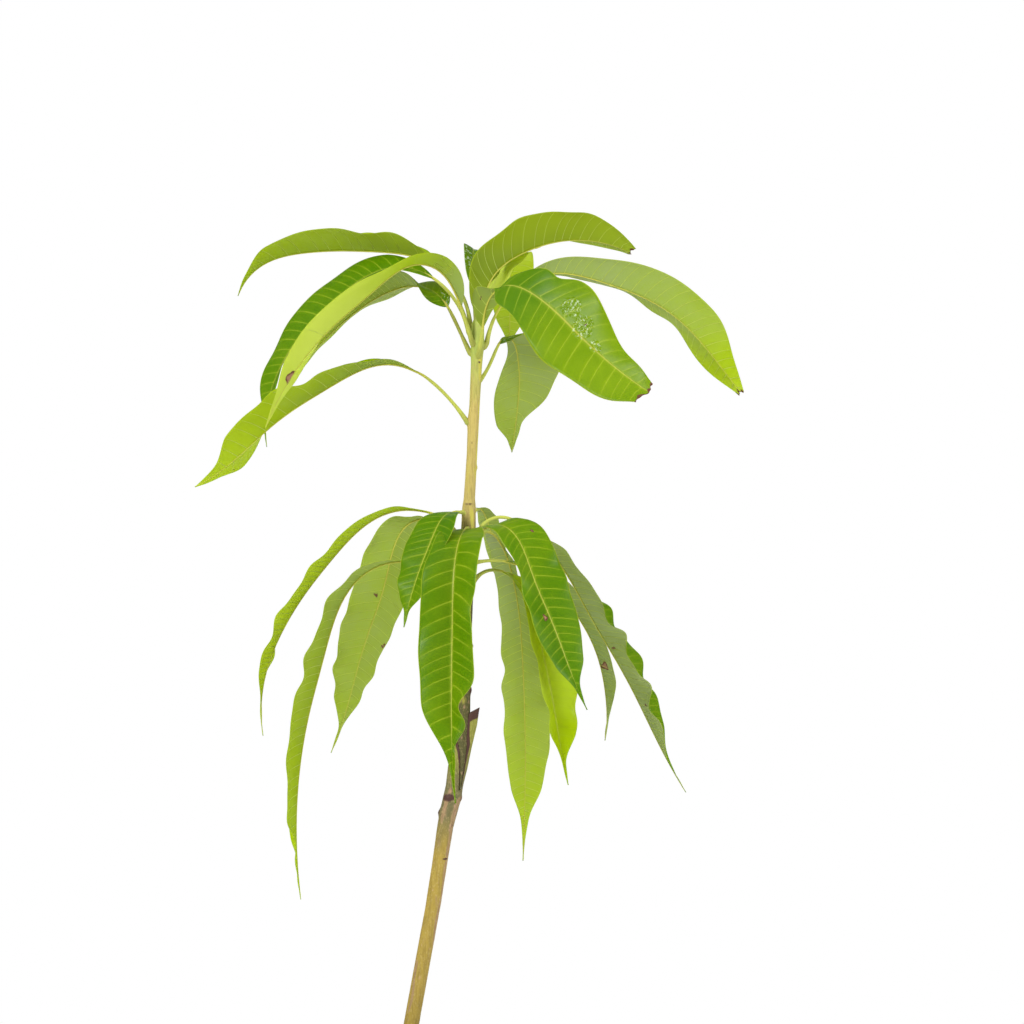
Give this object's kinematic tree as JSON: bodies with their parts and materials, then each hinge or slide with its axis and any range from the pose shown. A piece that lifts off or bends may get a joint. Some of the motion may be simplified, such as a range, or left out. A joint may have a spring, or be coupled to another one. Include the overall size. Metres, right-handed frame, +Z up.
{
  "type": "grafted mango sapling",
  "caption": "Young grafted mango tree in a plain nursery pot: leaning rootstock, upright scion and two tiers of long arching leaves.",
  "frame": {"origin": "centre of the pot's flat underside", "axes": "+Z up the plant, -Z out of the pot's underside, the rootstock leans towards +X"},
  "size_m": [0.4684, 0.288, 0.9213],
  "materials": {
    "pot": "moulded, satin",
    "soil": "loose, dull",
    "rootstock": "dull bark",
    "scion": "smooth young bark",
    "leaf": "leathery, semi-gloss"
  },
  "bodies": {
    "root": {"pot": "pot", "soil": "soil", "rootstock": "rootstock", "scion": "scion", "upper_leaf_1": "leaf", "upper_leaf_2": "leaf", "upper_leaf_3": "leaf", "upper_leaf_4": "leaf", "upper_leaf_5": "leaf", "upper_leaf_6": "leaf", "upper_leaf_7": "leaf", "upper_leaf_8": "leaf", "upper_leaf_9": "leaf", "upper_leaf_10": "leaf", "upper_leaf_11": "leaf", "lower_leaf_1": "leaf", "lower_leaf_2": "leaf", "lower_leaf_3": "leaf", "lower_leaf_4": "leaf", "lower_leaf_5": "leaf", "lower_leaf_6": "leaf", "lower_leaf_7": "leaf", "lower_leaf_8": "leaf", "lower_leaf_9": "leaf", "lower_leaf_10": "leaf", "lower_leaf_11": "leaf"}
  },
  "joints": []
}
